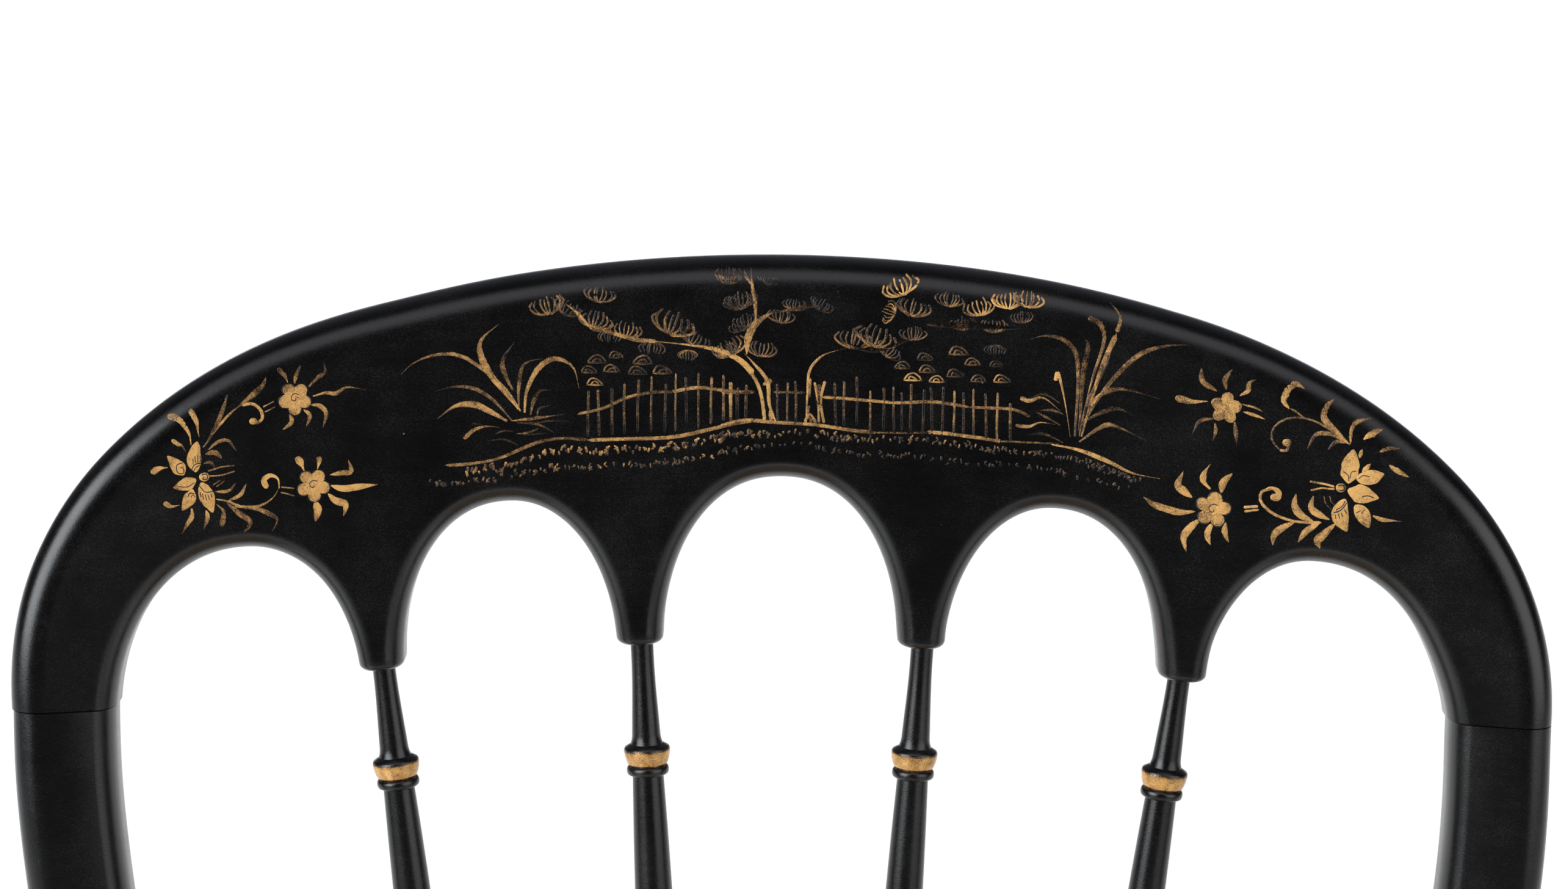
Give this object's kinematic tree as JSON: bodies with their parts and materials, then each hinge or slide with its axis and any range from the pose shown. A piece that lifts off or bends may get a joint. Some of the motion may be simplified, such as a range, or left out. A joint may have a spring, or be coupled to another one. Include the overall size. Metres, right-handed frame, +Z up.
{
  "type": "painted side chair",
  "caption": "Ebonised side chair with an arched, bowed crest rail over turned spindles, painted in gilt, with a caned seat on turned legs.",
  "frame": {"origin": "centre of the bounding box's underside, on the floor between the feet", "axes": "+Z up, the chair faces -Y, +X to the right as seen from in front"},
  "size_m": [0.4174, 0.4824, 0.8466],
  "materials": {
    "ebonised_wood": "black satin lacquer over turned and shaped wood, with brushed gilt decoration and light wear",
    "bare_wood": "bare, unvarnished",
    "cane": "woven natural cane, slightly glossy"
  },
  "bodies": {
    "root": {"crest_rail": "ebonised_wood", "stile_left": "ebonised_wood", "stile_right": "ebonised_wood", "spindle_1": "ebonised_wood", "spindle_2": "ebonised_wood", "spindle_3": "ebonised_wood", "spindle_4": "ebonised_wood", "lower_back_rail": "ebonised_wood", "seat_rail_front": "ebonised_wood", "seat_rail_left": "ebonised_wood", "seat_rail_right": "ebonised_wood", "seat_rail_back": "ebonised_wood", "front_leg_left": "ebonised_wood", "front_leg_right": "ebonised_wood", "front_stretcher_upper": "ebonised_wood", "front_stretcher_lower": "ebonised_wood", "side_stretcher_left_upper": "ebonised_wood", "side_stretcher_left_lower": "ebonised_wood", "side_stretcher_right_upper": "ebonised_wood", "side_stretcher_right_lower": "ebonised_wood", "back_stretcher": "ebonised_wood", "crest_dowel_left": "bare_wood", "crest_dowel_right": "bare_wood", "seat_dowels": "bare_wood", "cane_pegs": "bare_wood", "cane_panel": "cane", "cane_binder": "cane"}
  },
  "joints": []
}
